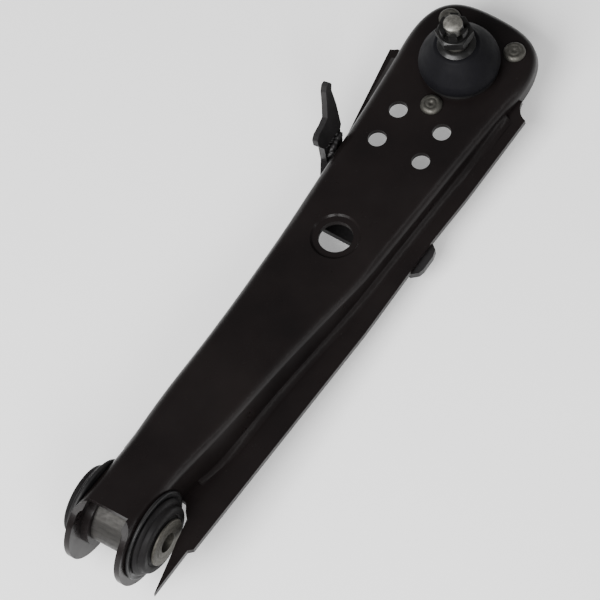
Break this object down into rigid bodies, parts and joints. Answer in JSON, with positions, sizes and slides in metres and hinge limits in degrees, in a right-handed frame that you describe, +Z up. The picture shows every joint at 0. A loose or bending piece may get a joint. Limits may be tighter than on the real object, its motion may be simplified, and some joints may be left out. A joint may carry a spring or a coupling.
{
  "type": "control arm",
  "caption": "Stamped steel lower control arm: open hat-section arm with a rubber pivot bushing, riveted ball joint with dust boot and castle nut, link holes and a steering stop.",
  "frame": {"origin": "centre of the pivot bushing's bolt bore", "axes": "+X along the arm to the ball joint, +Y along the pivot bore, +Z up along the ball stud"},
  "size_m": [0.4787, 0.1158, 0.096],
  "materials": {
    "black_paint": "gloss black paint on stamped steel",
    "black_plate": "satin black",
    "bare_steel": "dull machined steel",
    "rivet_steel": "dull forged steel",
    "black_nut": "oiled black oxide",
    "rubber": "matt",
    "boot_rubber": "matt grey-black",
    "nylon": "natural",
    "zinc": "zinc plated"
  },
  "bodies": {
    "arm": {"arm_pressing": "black_paint", "stop_bracket": "black_paint", "stop_bracket_welds": "black_paint", "pivot_tube": "bare_steel", "bushing_shell_left": "black_plate", "bushing_shell_right": "black_plate", "bushing_rubber_left": "rubber", "bushing_rubber_right": "rubber", "ball_joint_housing": "black_plate", "ball_joint_rivets": "rivet_steel", "upper_bearing": "nylon", "lower_bearing": "nylon", "preload_spring": "rubber", "housing_cover": "black_plate", "grease_fitting": "zinc", "dust_boot": "boot_rubber", "boot_base_ring": "black_plate"},
    "pivot_sleeve": {"inner_sleeve": "bare_steel", "sleeve_washer_left": "bare_steel", "sleeve_washer_right": "bare_steel"},
    "stud_swing": {"boot_top_ring": "boot_rubber"},
    "stud": {"ball_stud": "rivet_steel", "castle_nut": "black_nut"}
  },
  "joints": [
    {"name": "pivot_turn", "type": "hinge", "parent": "arm", "child": "pivot_sleeve", "pos_m": [0, 0, 0], "axis": [0, 1, 0], "range_deg": [-25, 25], "stiffness_Nm_per_rad": 20},
    {"name": "stud_tilt", "type": "hinge", "parent": "arm", "child": "stud_swing", "pos_m": [0.3957, 0, -0.01785], "axis": [0, 1, 0], "range_deg": [-18, 18], "deforming": ["dust_boot"]},
    {"name": "stud_spin", "type": "hinge", "parent": "stud_swing", "child": "stud", "pos_m": [0.3957, 0, -0.01785], "axis": [0, 0, 1], "continuous": true}
  ]
}
